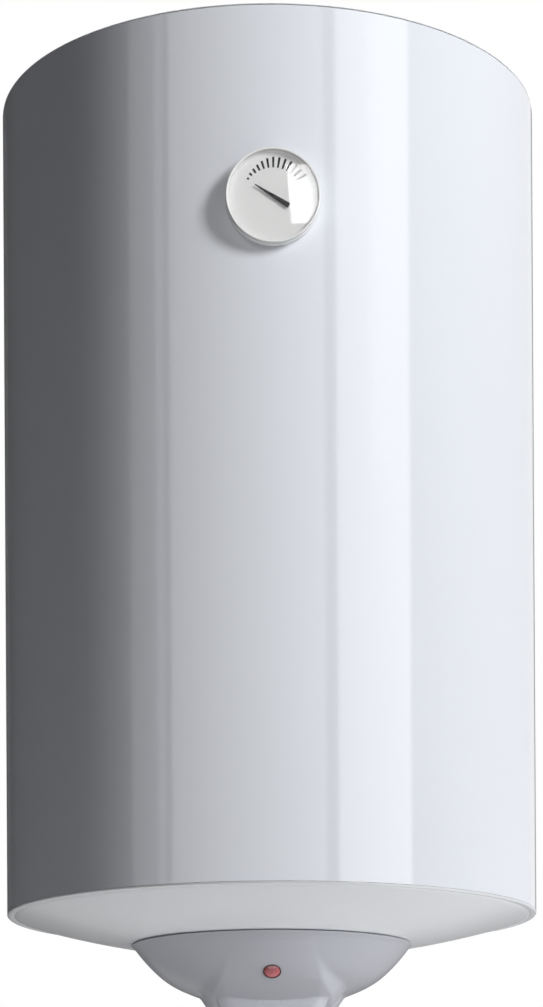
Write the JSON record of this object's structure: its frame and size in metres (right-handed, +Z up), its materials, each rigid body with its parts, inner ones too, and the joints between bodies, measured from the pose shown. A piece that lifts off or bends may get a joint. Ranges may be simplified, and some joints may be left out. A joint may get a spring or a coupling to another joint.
{
  "type": "storage water heater",
  "caption": "Upright cylindrical electric storage water heater with front dial thermometer, dished bottom lid, electrical cap, pipe connections below and wall bracket.",
  "frame": {"origin": "on the wall plane, midway between the two slots of the upper wall bracket", "axes": "+Z up along the tank, +Y from the heater into the wall, +X to the right seen from the room"},
  "size_m": [0.45, 0.4776, 0.7668],
  "materials": {
    "casing_paint": "glossy white stove enamel",
    "lid_paint": "semi-gloss white stove enamel",
    "foam": "rigid cream-coloured foam",
    "tank_steel": "dark enamelled steel",
    "plate_steel": "galvanised steel",
    "fastener_steel": "zinc-plated steel",
    "element_copper": "bare copper sheath",
    "terminal_ceramic": "unglazed ceramic with plated blades",
    "magnesium": "cast magnesium, dull grey",
    "pipe_steel": "galvanised pipe",
    "ring_red": "smooth red plastic",
    "ring_blue": "smooth blue plastic",
    "standpipe_steel": "stainless tube",
    "diffuser_plastic": "natural white plastic",
    "bracket_paint": "white powder coat",
    "thermostat_plastic": "black moulded plastic",
    "spindle_plastic": "white moulded plastic",
    "button_red": "red moulded plastic",
    "knob_plastic": "satin light grey plastic",
    "block_plastic": "white moulded plastic",
    "cap_plastic": "satin light grey moulded plastic",
    "inlet_plastic": "black moulded plastic",
    "lamp_rim": "black plastic",
    "lamp_red": "faceted translucent red plastic",
    "dial_housing": "glossy white plastic",
    "stem_metal": "bare brass",
    "dial_lens": "clear polished window",
    "dial_plate": "matt white printed plate",
    "needle_paint": "matt black"
  },
  "bodies": {
    "heater": {"casing_shell": "casing_paint", "top_lid": "lid_paint", "bottom_lid": "lid_paint", "insulation_foam": "foam", "tank_shell": "tank_steel", "element_flange": "plate_steel", "flange_bolts": "fastener_steel", "heating_element": "element_copper", "element_terminals": "terminal_ceramic", "magnesium_anode": "magnesium", "hot_nipple": "pipe_steel", "cold_nipple": "pipe_steel", "hot_ring": "ring_red", "cold_ring": "ring_blue", "hot_standpipe": "standpipe_steel", "inlet_diffuser": "diffuser_plastic", "bracket_studs": "fastener_steel", "bracket_nuts": "fastener_steel", "wall_bracket": "bracket_paint", "wall_spacer": "bracket_paint", "thermostat_body": "thermostat_plastic", "terminal_block": "block_plastic", "electrical_cap": "cap_plastic", "cap_screws": "fastener_steel", "lead_inlet": "inlet_plastic", "lamp_bezel": "lamp_rim", "lamp_lens": "lamp_red", "thermometer_housing": "dial_housing", "thermometer_stem": "stem_metal", "thermometer_lens": "dial_lens", "thermometer_dial": "dial_plate"},
    "needle": {"thermometer_needle": "needle_paint", "needle_arbor": "stem_metal"},
    "knob": {"temperature_knob": "knob_plastic", "thermostat_spindle": "spindle_plastic"},
    "reset": {"reset_button": "button_red"}
  },
  "joints": [
    {"name": "needle_turn", "type": "hinge", "parent": "heater", "child": "needle", "pos_m": [0.00393, -0.46497, 0.0085], "axis": [-0.0175, 0.9998, 0], "range_deg": [0, 116], "stiffness_Nm_per_rad": 0.002},
    {"name": "knob_turn", "type": "hinge", "parent": "heater", "child": "knob", "pos_m": [0, -0.24, -0.594], "axis": [0, 0, -1], "range_deg": [0, 270]},
    {"name": "reset_press", "type": "slide", "parent": "heater", "child": "reset", "axis": [0, 0, 1], "range_m": [0, 0.0015], "stiffness_N_per_m": 800, "springref_m": -0.0005}
  ]
}
